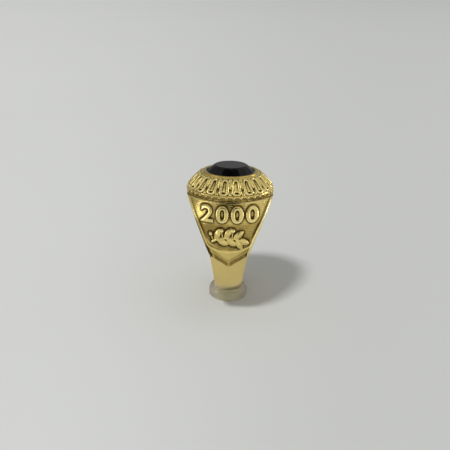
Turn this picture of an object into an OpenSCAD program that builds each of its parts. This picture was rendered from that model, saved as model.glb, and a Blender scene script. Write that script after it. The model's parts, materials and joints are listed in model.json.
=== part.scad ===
// Onyx ring on a clear foot. Millimetres, +Z up. The finger hole runs along X, the two shoulder
// panels face -Y and +Y, and the origin is the middle of the foot's underside.

/* [Finger hole and shank] */
// Diameter of the finger hole
bore_d = 19; // [18:0.25:20]
// Wall of the shank at its lowest point
shank_t = 1.7; // [1.5:0.1:2]
// Width of the shank along the finger at its lowest point
shank_w = 5.1; // [4.6:0.1:5.4]
// Depth under the finger's axis at which the shank starts to widen
taper_drop = 9.8; // [9:0.2:10.2]
// Width along the finger at the lower corners of the shoulder panels
waist_w = 7.3; // [6.8:0.1:7.8]
// Height of those corners over the finger's axis
waist_rise = 0.6; // [0.3:0.1:1]
// Width of the shoulders along the finger at the beaded line
shoulder_w = 17.2; // [16.4:0.1:17.4]
// Hollow of the shoulder's side under a straight line from corner to beaded line
shoulder_hollow = 0.25; // [0.15:0.05:0.4]

/* [Shoulders] */
// Radius of the shoulders as seen along the finger
shoulder_r = 15; // [14.5:0.25:16]
// Height of the beaded line over the finger's axis
bead_rise = 10.5; // [10:0.1:11]
// Height of the shoulder panel over the shank's surface
panel_lift = 0.3; // [0.2:0.05:0.5]
// Further height of the panel's rims, numerals and sprig
relief_lift = 0.3; // [0.2:0.05:0.4]
// Height of the smooth field at the panel's lower end over the rest of the panel
field_step = 0.18; // [0.1:0.02:0.26]
// Distance of the panel from the shoulder's sides
panel_inset = 0.15; // [0.1:0.05:0.25]
// Width of the panel's rims
rim_w = 0.6; // [0.4:0.05:0.7]
// Height over the finger's axis of the panel's lower point
point_rise = -1.7; // [-2.2:0.1:-1.2]
// Radius of the surface across the shank and the shoulders, which rounds their outer side
crown_r = 13; // [12:0.5:18]

/* [Numerals and sprig] */
// Height of a numeral
numeral_h = 2.7; // [2.4:0.1:3]
// Width of a numeral
numeral_w = 2.3; // [2:0.1:2.5]
// Space between two numerals
numeral_gap = 0.55; // [0.4:0.05:0.7]
// Stroke of a numeral
numeral_stroke = 0.62; // [0.5:0.02:0.7]
// Length of a leaf of the sprig
leaf_l = 2.1; // [1.6:0.1:2.4]
// Width of a leaf of the sprig
leaf_w = 0.85; // [0.6:0.05:1.1]
// Radius of the sprig's bowed stem
stem_r = 6; // [5:0.5:8]
// Width of the sprig's stem
stem_w = 0.34; // [0.28:0.02:0.4]
// Diameter of a berry of the sprig
berry_d = 0.6; // [0.5:0.05:0.7]

/* [Head] */
// How much longer the oval head is along the finger than across it
head_ratio = 1.22; // [1.15:0.01:1.3]
// Height of the dome from the beaded line to the collar round the stone
dome_h = 3.5; // [3.2:0.1:3.8]
// Bulge of the dome's side over a straight slope
dome_bulge = 0.15; // [0.1:0.05:0.3]
// Number of eggs in the egg-and-dart band round the dome
egg_count = 20; // [16:1:22]
// Height of the egg-and-dart band over the dome
egg_lift = 0.25; // [0.2:0.05:0.35]
// Number of beads round the head
bead_count = 38; // [30:1:40]
// Diameter of a bead
bead_d = 0.7; // [0.6:0.02:0.8]

/* [Stone] */
// Width of the stone across the finger
stone_w = 8.1; // [7.9:0.05:8.3]
// Height of the crown, from the girdle up to the table
crown_h = 1.45; // [1.2:0.05:1.6]
// Thickness of the girdle
girdle_t = 0.25; // [0.15:0.05:0.35]
// Depth of the pavilion under the girdle
pavilion_h = 1.7; // [1.4:0.1:1.9]
// Width of the table as a part of the stone's width
table_part = 0.62; // [0.5:0.01:0.66]
// Number of facets round the table
facets = 16; // [8:2:20]
// Gap between the stone and its seat
stone_gap = 0.04; // [0.03:0.01:0.06]

/* [Foot] */
// Diameter of the clear foot
foot_d = 8; // [7.6:0.2:9]
// Height of the clear foot
foot_h = 2; // [1.6:0.1:2.4]
// Radius of the foot's upper edge
foot_round = 0.7; // [0.4:0.1:0.9]
// How deep the ring stands in the foot
foot_sink = 0.05; // [0.05:0.05:0.3]
// Gap between the ring and the foot
foot_gap = 0.05; // [0.03:0.01:0.1]

/* [Hidden] */
$fn = 96;

bore_r = bore_d / 2;
shank_r = bore_r + shank_t;
axis_z = foot_h - foot_sink + shank_r;
bead_z = axis_z + bead_rise;
point_z = axis_z + point_rise;
waist_z = axis_z + waist_rise;
taper_z = axis_z - taper_drop;
point_slope = (waist_z - point_z) / (waist_w / 2);
panel_top_z = bead_z - 0.25;
// Distance of the shoulder arc's centre beyond the middle of the ring
shoulder_off = shoulder_r - shank_r;
// Distance across the finger from the middle to the beaded line
head_r = sqrt(shoulder_r * shoulder_r - bead_rise * bead_rise) - shoulder_off;
// Arched upper edge of the smooth field: its lowest point, its radius and its rise at the sides
field_z = point_z + 3.65;
field_r = 5.7;
field_rise = 1.3;
// Space over the numerals, and place of the top of the sprig's stem
numeral_drop = 0.6;
sprig_x = -0.3;
sprig_z = panel_top_z - numeral_h - 3.2;
// Pairs of leaves, and the turn from one to the next about the middle of the stem's bow
leaf_pairs = 3;
leaf_step = 17;
stem_start = 117;
leaf_inset = 4;
stem_end = stem_start - leaf_pairs * leaf_step + leaf_inset;
// Lean of a leaf from the stem, and how far the lower leaf of a pair stands behind the upper one
leaf_lean = 45;
leaf_stagger = 4;
// How far inside the stem's end its last leaf starts
leaf_root = 1;
// Stalk of a berry, and its turn from the foot of its pair of leaves
stalk_l = 1.35;
stalk_w = 0.2;
berry_turn = 3;
// Upright band that carries the beads, at the foot of the dome
band_r = head_r + 0.06;
band_z = bead_z + 0.45;
bead_h = 0.22;
// Overlap of the outlines of shank and shoulder, whose edges cross at the waist
waist_overlap = 1;
// Depth to which the head reaches into the shoulders
root_z = bead_z - 0.6;
// Plain collar round the stone, and its lip that holds the stone's crown
collar_r = stone_w / 2 + 0.5;
collar_z = bead_z + dome_h;
collar_step = 0.2;
// Narrow ledge of the dome round the foot of the collar
collar_ledge = 0.1;
lip_r = stone_w / 2 - 0.1;
lip_z = collar_z + 0.32;
lip_t = 0.1;
// Heights of the stone's girdle, table and flat base
girdle_z = collar_z;
table_z = girdle_z + crown_h;
base_z = girdle_z - girdle_t - pavilion_h;
table_r = table_part * stone_w / 2;
base_r = 0.45 * stone_w / 2;
// Ornament of the dome, measured along its slope
slope_low = [band_r, band_z];
slope_high = [collar_r + collar_ledge, collar_z];
slope_angle = atan2(slope_high[1] - slope_low[1], slope_low[0] - slope_high[0]);
slope_l = norm(slope_high - slope_low);
egg_gap = 0.25;
egg_deep = 0.6;
egg_h = slope_l - 2 * egg_gap;
egg_w = 1.38;
egg_stroke = 0.42;
drop_l = 1.7;
drop_w = 0.3;
dart_w = 0.24;
low_dart_w = 0.34;
// Room for what a cutter or an outline passes through
reach = 20;

// Point at a distance from a centre, in the direction of an angle
function polar(centre, radius, angle) = centre + radius * [cos(angle), sin(angle)];

// Radius of the arc from a to b that bulges by a given height over the line between them
function bulge_radius(a, b, bulge) =
    let (half = norm(b - a) / 2)
    (half * half + bulge * bulge) / (2 * bulge);

// Centre of that arc, to the left of the way from a to b
function bulge_centre(a, b, bulge) =
    let (way = (b - a) / norm(b - a))
    (a + b) / 2 + (bulge_radius(a, b, bulge) - bulge) * [-way[1], way[0]];

// Round disc about an axis along X through the height of the finger's axis, with a rounded rim
module disc(radius, lift, off) {
    translate([0, off, axis_z])
        rotate([0, 90, 0])
            rotate_extrude($fn = 180)
                intersection() {
                    translate([radius - crown_r, 0])
                        circle(r = crown_r + lift, $fn = 180);
                    translate([0, -reach / 2])
                        square([reach, reach]);
                }
}

// Solid of shank and shoulders before its sides are cut, grown by a lift
module shoulder_solid(lift) {
    intersection() {
        disc(shank_r, lift, 0);
        translate([-reach, -reach, axis_z - reach])
            cube([2 * reach, 2 * reach, reach]);
    }
    intersection() {
        disc(shoulder_r, lift, shoulder_off);
        disc(shoulder_r, lift, -shoulder_off);
        translate([-reach, -reach, axis_z])
            cube([2 * reach, 2 * reach, bead_rise]);
    }
}

// Outline of shank and shoulders as seen along -Y, with its sides moved in by inset
module side_outline(inset) {
    half_w = shank_w / 2;
    low = [waist_w / 2, waist_z];
    high = [shoulder_w / 2, bead_z];
    taper_h = waist_z - taper_z;
    taper_in = (waist_w - shank_w) / 2;
    taper_r = (taper_h * taper_h + taper_in * taper_in) / (2 * taper_in);
    hollow_at = bulge_centre(high, low, shoulder_hollow);
    hollow_r = bulge_radius(low, high, shoulder_hollow);
    translate([inset - half_w, 0])
        square([shank_w - 2 * inset, taper_z]);
    difference() {
        translate([-reach, taper_z])
            square([2 * reach, taper_h + waist_overlap]);
        for (side = [-1, 1])
            translate([side * (half_w + taper_r), taper_z])
                circle(r = taper_r + inset, $fn = 360);
    }
    difference() {
        translate([-reach, waist_z - waist_overlap])
            square([2 * reach, bead_rise - waist_rise + waist_overlap]);
        for (side = [-1, 1])
            translate([side * hollow_at[0], hollow_at[1]])
                circle(r = hollow_r + inset, $fn = 360);
    }
}

// Outline of a shoulder panel, with its sides and its point moved in by inset
module panel_outline(inset) {
    intersection() {
        side_outline(inset);
        polygon([
            [0, point_z + inset * norm([1, point_slope])],
            [reach, point_z + inset * norm([1, point_slope]) + reach * point_slope],
            [reach, panel_top_z],
            [-reach, panel_top_z],
            [-reach, point_z + inset * norm([1, point_slope]) + reach * point_slope]
        ]);
    }
}

// Cuts a flat drawing out of the shoulder's surface on the side that faces -Y, grown by a lift
module on_shoulder(lift) {
    intersection() {
        shoulder_solid(lift);
        translate([0, -shank_r / 4, 0])
            rotate([90, 0, 0])
                linear_extrude(height = reach)
                    children();
    }
}

// Upright arch or, when closed, a long oval, whose foot is on the origin's line
module arch(w, h, closed) {
    translate([0, h - w / 2])
        circle(d = w);
    if (closed)
        translate([0, w / 2])
            circle(d = w);
    translate([-w / 2, closed ? w / 2 : 0])
        square([w, closed ? h - w : h - w / 2]);
}

// Numeral 2: a hook, a slope whose upper end lies inside the hook, and a foot
module numeral_two() {
    outer = numeral_w / 2;
    inner = outer - numeral_stroke;
    centre = [0, numeral_h - outer];
    start = 175;
    finish = 320;
    overlap = 12;
    difference() {
        translate(centre)
            circle(r = outer);
        translate(centre)
            circle(r = inner);
        polygon([centre, for (i = [0 : 3]) polar(centre, 2 * numeral_w, start + i * (finish - start) / 3)]);
    }
    polygon([
        polar(centre, inner, finish),
        [-outer, numeral_stroke],
        [-outer, 0],
        [numeral_stroke - outer, 0],
        polar(centre, outer, finish),
        polar(centre, (inner + outer) / 2, finish + overlap)
    ]);
    translate([-outer, 0])
        square([numeral_w, numeral_stroke]);
}

// Numeral 0
module numeral_nought() {
    difference() {
        arch(numeral_w, numeral_h, true);
        translate([0, numeral_stroke])
            arch(numeral_w - 2 * numeral_stroke, numeral_h - 2 * numeral_stroke, true);
    }
}

// Four plain numerals in a row
module numerals() {
    pitch = numeral_w + numeral_gap;
    for (i = [0 : 3])
        translate([(i - 1.5) * pitch, panel_top_z - numeral_drop - numeral_h])
            if (i == 0)
                numeral_two();
            else
                numeral_nought();
}

// Pointed leaf from the origin along X, between two arcs
module leaf() {
    leaf_r = (leaf_l * leaf_l + leaf_w * leaf_w) / (4 * leaf_w);
    intersection_for(side = [-1, 1])
        translate([leaf_l / 2, side * (leaf_r - leaf_w / 2)])
            circle(r = leaf_r);
}

// Sprig: a bowed stem with pairs of leaves, a leaf at its end, and a stalked berry beside each pair
module sprig() {
    centre = [sprig_x, sprig_z - stem_r];
    intersection() {
        difference() {
            translate(centre)
                circle(r = stem_r + stem_w / 2);
            translate(centre)
                circle(r = stem_r - stem_w / 2);
        }
        polygon([centre, polar(centre, 2 * stem_r, stem_start), polar(centre, 2 * stem_r, stem_end)]);
    }
    for (i = [0 : leaf_pairs - 1]) {
        angle = stem_start - leaf_inset - leaf_step * i;
        for (side = [-1, 1])
            translate(polar(centre, stem_r, angle + leaf_stagger * (side - 1) / 2))
                rotate(angle - 90 + leaf_lean * side)
                    leaf();
        translate(polar(centre, stem_r, angle + berry_turn))
            rotate(angle - 90)
                translate([-stalk_w / 2, 0])
                    square([stalk_w, stalk_l]);
        translate(polar(centre, stem_r + stalk_l, angle + berry_turn))
            circle(d = berry_d);
    }
    translate(polar(centre, stem_r, stem_end + leaf_root))
        rotate(stem_end - 90)
            leaf();
}

// Smooth field at the panel's lower end, under an arched line
module lower_field() {
    intersection() {
        panel_outline(panel_inset);
        difference() {
            translate([-reach, 0])
                square([2 * reach, field_z + field_rise]);
            translate([0, field_z + field_r])
                circle(r = field_r);
        }
    }
}

// Raised panel of one shoulder: field with its smooth lower end, rims, numerals and sprig
module panel() {
    on_shoulder(panel_lift)
        panel_outline(panel_inset);
    on_shoulder(panel_lift + field_step)
        lower_field();
    on_shoulder(panel_lift + relief_lift) {
        difference() {
            panel_outline(panel_inset);
            side_outline(panel_inset + rim_w);
        }
        numerals();
        sprig();
    }
}

// Half outline of the dome before the head is stretched to an oval, grown by a lift
module dome_half(lift) {
    intersection() {
        translate(bulge_centre(slope_low, slope_high, dome_bulge))
            circle(r = bulge_radius(slope_low, slope_high, dome_bulge) + lift);
        translate([0, root_z])
            square([band_r + lift, collar_z - root_z]);
    }
}

// Half outline of the plain collar round the stone
module collar_half() {
    polygon([
        [0, collar_z - 1],
        [collar_r, collar_z - collar_step],
        [collar_r, collar_z + collar_step / 4],
        [collar_r - collar_step / 2, collar_z + collar_step],
        [lip_r + lip_t, lip_z],
        [lip_r, lip_z - lip_t / 2],
        [0, lip_z - lip_t / 2]
    ]);
}

// Half outline of the stone's seat, open at the top inside the lip
module seat_half() {
    seat_r = stone_w / 2 + stone_gap;
    polygon([
        [0, base_z - stone_gap],
        [base_r + stone_gap, base_z - stone_gap],
        [seat_r, girdle_z - girdle_t - stone_gap],
        [seat_r, girdle_z + 2 * stone_gap],
        [lip_r, lip_z - lip_t],
        [lip_r, lip_z + 1],
        [0, lip_z + 1]
    ]);
}

// Extrudes a flat drawing through the dome's slope, with its Y up the slope
module on_slope() {
    translate([slope_low[0], 0, slope_low[1]])
        rotate([slope_angle, 0, 90])
            translate([0, egg_gap, -egg_deep])
                linear_extrude(height = 3 * egg_deep)
                    children();
}

// Egg of the ornament: a long oval line round a drop
module egg() {
    difference() {
        arch(egg_w, egg_h, true);
        translate([0, egg_stroke])
            arch(egg_w - 2 * egg_stroke, egg_h - 2 * egg_stroke, true);
    }
    translate([0, (egg_h - drop_l) / 2])
        polygon([[-drop_w / 2, 0], [drop_w / 2, 0], [0, drop_l]]);
}

// Darts between two eggs: a long one from above and a short one from below
module darts() {
    polygon([[0, egg_h / 2], [dart_w, egg_h], [-dart_w, egg_h]]);
    polygon([[0, egg_h / 3], [-low_dart_w, 0], [low_dart_w, 0]]);
}

// Band of ornament round the dome
module ornament() {
    step = 360 / egg_count;
    intersection() {
        rotate_extrude()
            dome_half(egg_lift);
        for (i = [0 : egg_count - 1]) {
            rotate((i + 0.5) * step)
                on_slope()
                    egg();
            rotate(i * step)
                on_slope()
                    darts();
        }
    }
}

// Milled line of beads, each a blunt cone that points outwards
module beads() {
    for (i = [0 : bead_count - 1])
        rotate(i * 360 / bead_count)
            translate([band_r - bead_h, 0, (bead_z + band_z) / 2])
                rotate([0, 90, 0])
                    cylinder(d1 = bead_d + 0.1, d2 = bead_d - 0.3, h = 2 * bead_h, $fn = 32);
}

// Oval head with the stone's seat, modelled round and then stretched along the finger
module head() {
    scale([head_ratio, 1, 1])
        difference() {
            union() {
                rotate_extrude() {
                    dome_half(0);
                    collar_half();
                }
                ornament();
                beads();
            }
            rotate_extrude()
                seat_half();
        }
}

// One casting: shank, shoulders with their panels, and head
module ring() {
    color("gold")
        difference() {
            union() {
                intersection() {
                    shoulder_solid(0);
                    rotate([90, 0, 0])
                        linear_extrude(height = 2 * reach, center = true)
                            side_outline(0);
                }
                panel();
                rotate(180)
                    panel();
                head();
            }
            translate([0, 0, axis_z])
                rotate([0, 90, 0])
                    cylinder(r = bore_r, h = 2 * reach, center = true);
        }
}

// Points of an oval of the stone, with half a facet's turn when odd
function stone_oval(radius, z, turn) = [
    for (i = [0 : facets - 1])
        let (angle = (i + turn) * 360 / facets)
        [head_ratio * radius * cos(angle), radius * sin(angle), z]
];

// Black stone: flat table, faceted crown, girdle, faceted pavilion and flat base
module stone() {
    n = facets;
    points = concat(
        stone_oval(base_r, base_z, 0),
        stone_oval(stone_w / 2, girdle_z - girdle_t, 0.5),
        stone_oval(stone_w / 2, girdle_z, 0.5),
        stone_oval(table_r, table_z, 0)
    );
    faces = concat(
        [[for (i = [0 : n - 1]) i]],
        [for (i = [0 : n - 1]) [i, n + i, (i + 1) % n]],
        [for (i = [0 : n - 1]) [(i + 1) % n, n + i, n + (i + 1) % n]],
        [for (i = [0 : n - 1]) [n + i, 2 * n + i, 2 * n + (i + 1) % n, n + (i + 1) % n]],
        [for (i = [0 : n - 1]) [2 * n + i, 3 * n + i, 3 * n + (i + 1) % n]],
        [for (i = [0 : n - 1]) [2 * n + i, 3 * n + (i + 1) % n, 2 * n + (i + 1) % n]],
        [[for (i = [n - 1 : -1 : 0]) 3 * n + i]]
    );
    color([0.03, 0.03, 0.035])
        polyhedron(points, faces);
}

// Clear round foot with a shallow saddle in which the shank stands
module foot() {
    foot_r = foot_d / 2;
    color([0.8, 0.82, 0.85, 0.6])
        difference() {
            rotate_extrude() {
                square([foot_r, foot_h - foot_round]);
                square([foot_r - foot_round, foot_h]);
                translate([foot_r - foot_round, foot_h - foot_round])
                    circle(r = foot_round);
            }
            translate([0, 0, axis_z])
                rotate([0, 90, 0])
                    cylinder(r = shank_r + foot_gap, h = shank_w + 2 * foot_gap, center = true);
        }
}

ring();
stone();
foot();
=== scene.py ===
# %% [markdown]
# # A heavy gold ring with a black oval stone
#
# The fixed frame is a finished engineering model of the ring on its clear foot. This lesson gives it the
# look of the real thing: a polished gold casting with soft edges and dark recesses, a faceted black stone,
# and a small foot of clear soft plastic. Each piece is built where the frame says, so nothing has to be
# fitted later.

# %% Load the fixed frame
import json
import math

import bmesh
import bpy
import numpy as np
from mathutils import Matrix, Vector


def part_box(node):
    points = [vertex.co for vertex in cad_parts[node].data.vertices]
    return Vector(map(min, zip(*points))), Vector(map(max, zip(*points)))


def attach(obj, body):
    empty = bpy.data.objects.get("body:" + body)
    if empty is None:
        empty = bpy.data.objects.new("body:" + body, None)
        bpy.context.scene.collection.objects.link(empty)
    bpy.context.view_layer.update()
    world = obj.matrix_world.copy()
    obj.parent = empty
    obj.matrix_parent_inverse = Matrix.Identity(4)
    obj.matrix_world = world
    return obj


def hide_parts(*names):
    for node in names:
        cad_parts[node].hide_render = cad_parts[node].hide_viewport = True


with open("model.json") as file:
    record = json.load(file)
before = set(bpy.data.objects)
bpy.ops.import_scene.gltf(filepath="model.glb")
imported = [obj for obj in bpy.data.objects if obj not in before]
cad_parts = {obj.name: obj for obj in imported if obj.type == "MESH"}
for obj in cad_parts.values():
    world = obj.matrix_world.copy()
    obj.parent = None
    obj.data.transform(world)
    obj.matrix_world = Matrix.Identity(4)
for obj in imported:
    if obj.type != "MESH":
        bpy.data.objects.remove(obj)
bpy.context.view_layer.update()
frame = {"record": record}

# %% [markdown]
# ## Sizes
#
# A goldsmith works in millimetres, and so does this lesson: one Blender unit is a millimetre on the bench,
# and each finished piece is shrunk a thousand times. There is a second reason. Blender's voxel remesh has a
# smallest voxel of 0.0001 units, which at full size would be a tenth of a millimetre, too coarse for a
# casting whose strokes are half a millimetre wide.

# %% Sizes of the ring, in millimetres
MM = 0.001
finger_hole = next(m for m in frame["record"]["mounts"] if m["name"] == "finger_bore")
bore_r = finger_hole["dims"]["r_mm"]
axis_z = finger_hole["pos_m"][2] / MM
foot_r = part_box("foot")[1][0] / MM
foot_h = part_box("foot")[1][2] / MM
table_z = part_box("stone")[1][2] / MM

# Wall and width of the shank, width at the waist and at the head, and the two radii seen along the finger
shank_t, shank_w = 1.7, 5.1
waist_w, shoulder_w = 7.3, 17.2
shank_r, shoulder_r = bore_r + shank_t, 15.0
shoulder_off = shoulder_r - shank_r
# Radius of the outer surface across the ring, and hollow of the shoulder's side under a straight line
crown_r, flank_hollow = 13.0, 0.25
# Heights where the taper ends, of the waist, of the bead line and of the panel's lower point
taper_z, waist_z = axis_z - 9.8, axis_z + 0.6
bead_z, point_z = axis_z + 10.5, axis_z - 1.7
# The shoulder panel: its top, and how high its ground, its smooth field and its rims stand
panel_top_z = bead_z - 0.25
field_lift, low_field_lift, rim_lift = 0.3, 0.48, 0.6

# The head: oval's length over its width, then radius and height of dome, collar and lip, and the dome's root
head_ratio = 1.22
band_r, band_z = 6.972, bead_z + 0.45
collar_r, collar_z = 4.55, bead_z + 3.5
lip_r, lip_z = 3.95, collar_z + 0.32
root_z = bead_z - 0.6
# The stone across the finger
stone_r, table_r, girdle_z = 4.05, 2.5, table_z - 1.45
girdle_t, pavilion_h = 0.25, 1.7
print(f"finger hole {2 * bore_r} mm, axis {axis_z:.2f} mm over the table, stone's table at {table_z:.2f} mm")

# %% [markdown]
# ## The ring's own curves
#
# Two outlines rule the whole ring. Seen from the side of the panel, the band widens in a gentle arc from
# the shank to the waist, and then flares to the head. Seen along the finger, it is a circle below and two
# wider circles above. They could be drawn by eye with curve objects. Here they are short functions instead,
# so that every piece, whatever it is made from, ends exactly on the same surface.

# %% Outline and surface of the band
taper_h, taper_in = waist_z - taper_z, (waist_w - shank_w) / 2
taper_r = (taper_h ** 2 + taper_in ** 2) / (2 * taper_in)
flank_way = np.array([shoulder_w / 2 - waist_w / 2, bead_z - waist_z])
flank_l = np.linalg.norm(flank_way)
flank_r = ((flank_l / 2) ** 2 + flank_hollow ** 2) / (2 * flank_hollow)
flank_mid = np.array([waist_w / 2 + shoulder_w / 2, waist_z + bead_z]) / 2
flank_centre = flank_mid + (flank_r - flank_hollow) * np.array([flank_way[1], -flank_way[0]]) / flank_l


def half_width(z):
    """Half the width of the ring along the finger, at a height."""
    taper = shank_w / 2 + taper_r - np.sqrt(taper_r ** 2 - (np.clip(z, taper_z, waist_z) - taper_z) ** 2)
    flank = flank_centre[0] - np.sqrt(flank_r ** 2 - (np.clip(z, waist_z, bead_z) - flank_centre[1]) ** 2)
    return np.where(z > waist_z, flank, taper)


def shoulder_depth(x, z, lift):
    """Distance across the finger from the middle of the ring to its outer surface, grown by a lift."""
    crown = np.sqrt((crown_r + lift) ** 2 - x ** 2) - crown_r
    rise = (z - axis_z) ** 2
    upper = np.sqrt((shoulder_r + crown) ** 2 - rise) - shoulder_off
    lower = np.sqrt(np.maximum((shank_r + crown) ** 2 - rise, 0))
    return np.where(z > axis_z, upper, lower)


widths = [round(float(half_width(z)), 2) for z in (taper_z, waist_z, bead_z)]
print("half width at shank, waist and head:", widths)

# %% [markdown]
# ## A few bench tools
#
# Operators work on what is selected, and a freshly loaded frame leaves its nodes selected. So the first
# helpers always clear the selection before they select anything. The others read and write all points of a
# mesh at once, which gives most pieces here their final shape, and the last one moves a finished piece from
# the bench to its real size.

# %% Selecting and applying


def choose(*pieces):
    """Selects these objects alone, with the last one active."""
    bpy.ops.object.select_all(action="DESELECT")
    for piece in pieces:
        piece.select_set(True)
    bpy.context.view_layer.objects.active = pieces[-1]


def edit(piece, kind="FACE"):
    """Opens a piece for editing, with all of it selected."""
    choose(piece)
    bpy.ops.object.mode_set(mode="EDIT")
    bpy.ops.mesh.select_mode(type=kind)
    bpy.ops.mesh.select_all(action="SELECT")


def pick_long(piece, reach):
    """Selects the edges that reach further than this along X."""
    mesh = bmesh.from_edit_mesh(piece.data)
    bpy.ops.mesh.select_all(action="DESELECT")
    for edge in mesh.edges:
        edge.select_set(abs(edge.verts[0].co.x - edge.verts[1].co.x) > reach)
    bmesh.update_edit_mesh(piece.data)


def leave():
    """Closes the mesh that is being edited."""
    bpy.ops.object.mode_set(mode="OBJECT")


def leave_outward():
    """Turns every face outward and closes the mesh that is being edited."""
    bpy.ops.mesh.select_all(action="SELECT")
    bpy.ops.mesh.normals_make_consistent(inside=False)
    leave()


def finish_with(piece, kind, **settings):
    """Adds a modifier with these settings and applies it."""
    choose(piece)
    modifier = piece.modifiers.new(kind, kind)
    for name, value in settings.items():
        setattr(modifier, name, value)
    bpy.ops.object.modifier_apply(modifier=modifier.name)


def smooth_under(piece, degrees):
    """Shades a piece smooth, except along edges that are sharper than an angle."""
    choose(piece)
    bpy.ops.object.shade_smooth_by_angle(angle=math.radians(degrees))


# %% Points, joining and size


def ramp(value, low, high):
    """Rises from 0 to 1 as a value goes from low to high, which may also be a way down."""
    return np.clip((value - low) / (high - low), 0, 1)


def points(piece):
    """Places of a mesh's vertices as an array of rows."""
    flat = np.empty(len(piece.data.vertices) * 3)
    piece.data.vertices.foreach_get("co", flat)
    return flat.reshape(-1, 3)


def place(piece, rows):
    """Puts a mesh's vertices at new places."""
    piece.data.vertices.foreach_set("co", np.asarray(rows, float).ravel())
    piece.data.update()


def joined(name, pieces):
    """Joins several objects into one."""
    choose(*pieces)
    bpy.ops.object.join()
    piece = bpy.context.object
    piece.name = name
    return piece


def settle(piece):
    """Writes a piece's place, turn and size into its mesh."""
    choose(piece)
    bpy.ops.object.transform_apply(location=True, rotation=True, scale=True)


def to_size(piece):
    """Shrinks a finished piece from the bench to its real size, with its object at the origin."""
    settle(piece)
    piece.scale = (MM, MM, MM)
    settle(piece)
    print(piece.name, len(piece.data.polygons), "faces")


# %% [markdown]
# ## Soft like a casting
#
# A ring like this is cast from wax, so nothing on it has a knife edge, and strokes flow into the ground
# they stand on. Bevelling every stroke by hand would be slow, and the bevels would cross. A voxel remesh
# melts overlapping shapes into one skin, and a little smoothing gives it the roundness of wax. What is lost
# is a clean edge flow, which a still casting doesn't need.
#
# The same step writes down how deep each point lies in a hollow. That becomes the attribute that the gold's
# colour reads: the recesses are darkened, partly for the old polish and tarnish that stay in them, and partly
# as painted shade.

# %% Melting shapes into one skin, and the depth of its hollows


def melt(piece, voxel, rounds):
    """Melts a piece into one skin of small squares and smooths it."""
    finish_with(piece, "REMESH", mode="VOXEL", voxel_size=voxel, use_smooth_shade=True)
    finish_with(piece, "SMOOTH", factor=0.5, iterations=rounds)


def note_hollows(piece, rounds, extra):
    """Stores how far each point lies under the smoothed surface around it, in millimetres, plus an extra
    depth for tarnish and painted shade, which is negative for painted highlights.
    """
    mesh = piece.data
    rows = points(piece)
    ends = np.empty(len(mesh.edges) * 2, int)
    mesh.edges.foreach_get("vertices", ends)
    a, b = ends[0::2], ends[1::2]
    count = np.bincount(ends, minlength=len(rows))[:, None]
    normals = np.empty(len(rows) * 3)
    mesh.vertex_normals.foreach_get("vector", normals)
    smooth = rows.copy()
    for _ in range(rounds):
        totals = [np.bincount(a, smooth[b, i], len(rows)) + np.bincount(b, smooth[a, i], len(rows))
                  for i in range(3)]
        total = np.stack(totals, axis=1)
        smooth = 0.5 * smooth + 0.5 * total / count
    depth = np.einsum("ij,ij->i", smooth - rows, normals.reshape(-1, 3)) + extra
    store = mesh.attributes.new("hollow", "FLOAT", "POINT")
    store.data.foreach_set("value", depth)
    print(piece.name, "hollows from", round(float(depth.min()), 3), "to", round(float(depth.max()), 3), "mm")


# %% [markdown]
# ## The band
#
# The hoop that goes round the finger, with its shoulders up to the head. It could be cut from a thick tube
# with booleans, but those leave poor faces for polished metal, where every reflection shows. Spinning a
# flat section round the finger's axis gives clean rows of squares. The section is drawn once at a plain
# width, spun, and then each point slides to the width and the thickness that the ring has at its place.

# %% Spin the band
section_cuts, spin_steps = 15, 240
edge_round = 0.16
# Wear at the edges of the shank's underside, which starts at one share of the way down and is full at another
wear_depth, wear_start, wear_full = 0.5, 0.5, 0.9
slide_rounds = 6


def outer_reach(x, angle_sin, angle_cos):
    """Distance from the finger's axis to the band's outer surface, in a direction across the finger."""
    crown = np.sqrt(crown_r ** 2 - x ** 2) - crown_r
    wide = np.sqrt((shoulder_r + crown) ** 2 - (shoulder_off * angle_sin) ** 2)
    wide -= shoulder_off * np.abs(angle_cos)
    flat_top = (bead_z - axis_z) / np.maximum(angle_sin, 0.1)
    worn = wear_depth * np.abs(x / (shank_w / 2)) ** 3 * ramp(-angle_sin, wear_start, wear_full)
    return np.where(angle_sin > 0, np.minimum(wide, flat_top), shank_r + crown - worn)


def make_band():
    bpy.ops.mesh.primitive_plane_add(size=2)
    band = bpy.context.object
    band.name = "band"
    edit(band)
    middle = (0, 0, axis_z - bore_r - shank_t / 2)
    bpy.ops.transform.resize(value=(shank_w / 2, shank_t / 2, 1))
    bpy.ops.transform.rotate(value=math.pi / 2, orient_axis="X", center_override=(0, 0, 0))
    bpy.ops.transform.translate(value=middle)
    bpy.ops.mesh.delete(type="ONLY_FACE")
    bpy.ops.mesh.select_mode(type="EDGE")
    pick_long(band, shank_w / 2)
    bpy.ops.mesh.subdivide(number_cuts=section_cuts)
    bpy.ops.mesh.select_all(action="SELECT")
    bpy.ops.mesh.spin(steps=spin_steps, angle=2 * math.pi, center=(0, 0, axis_z), axis=(1, 0, 0))
    bpy.ops.mesh.select_all(action="SELECT")
    bpy.ops.mesh.remove_doubles(threshold=0.01)
    leave()
    rows = points(band)
    x, y, rise = rows[:, 0], rows[:, 1], rows[:, 2] - axis_z
    reach = np.hypot(y, rise)
    outward = (reach - bore_r) / shank_t
    angle_sin, angle_cos = rise / reach, y / reach
    across = x / (shank_w / 2)
    for _ in range(slide_rounds):
        reach = bore_r + outward * (outer_reach(x, angle_sin, angle_cos) - bore_r)
        x = across * half_width(axis_z + reach * angle_sin)
    place(band, np.stack([x, reach * angle_cos, axis_z + reach * angle_sin], axis=1))
    edit(band)
    leave_outward()
    finish_with(band, "BEVEL", width=edge_round, segments=3, limit_method="ANGLE",
                angle_limit=math.radians(50))
    smooth_under(band, 40)
    return band


band = make_band()
to_size(band)

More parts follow.
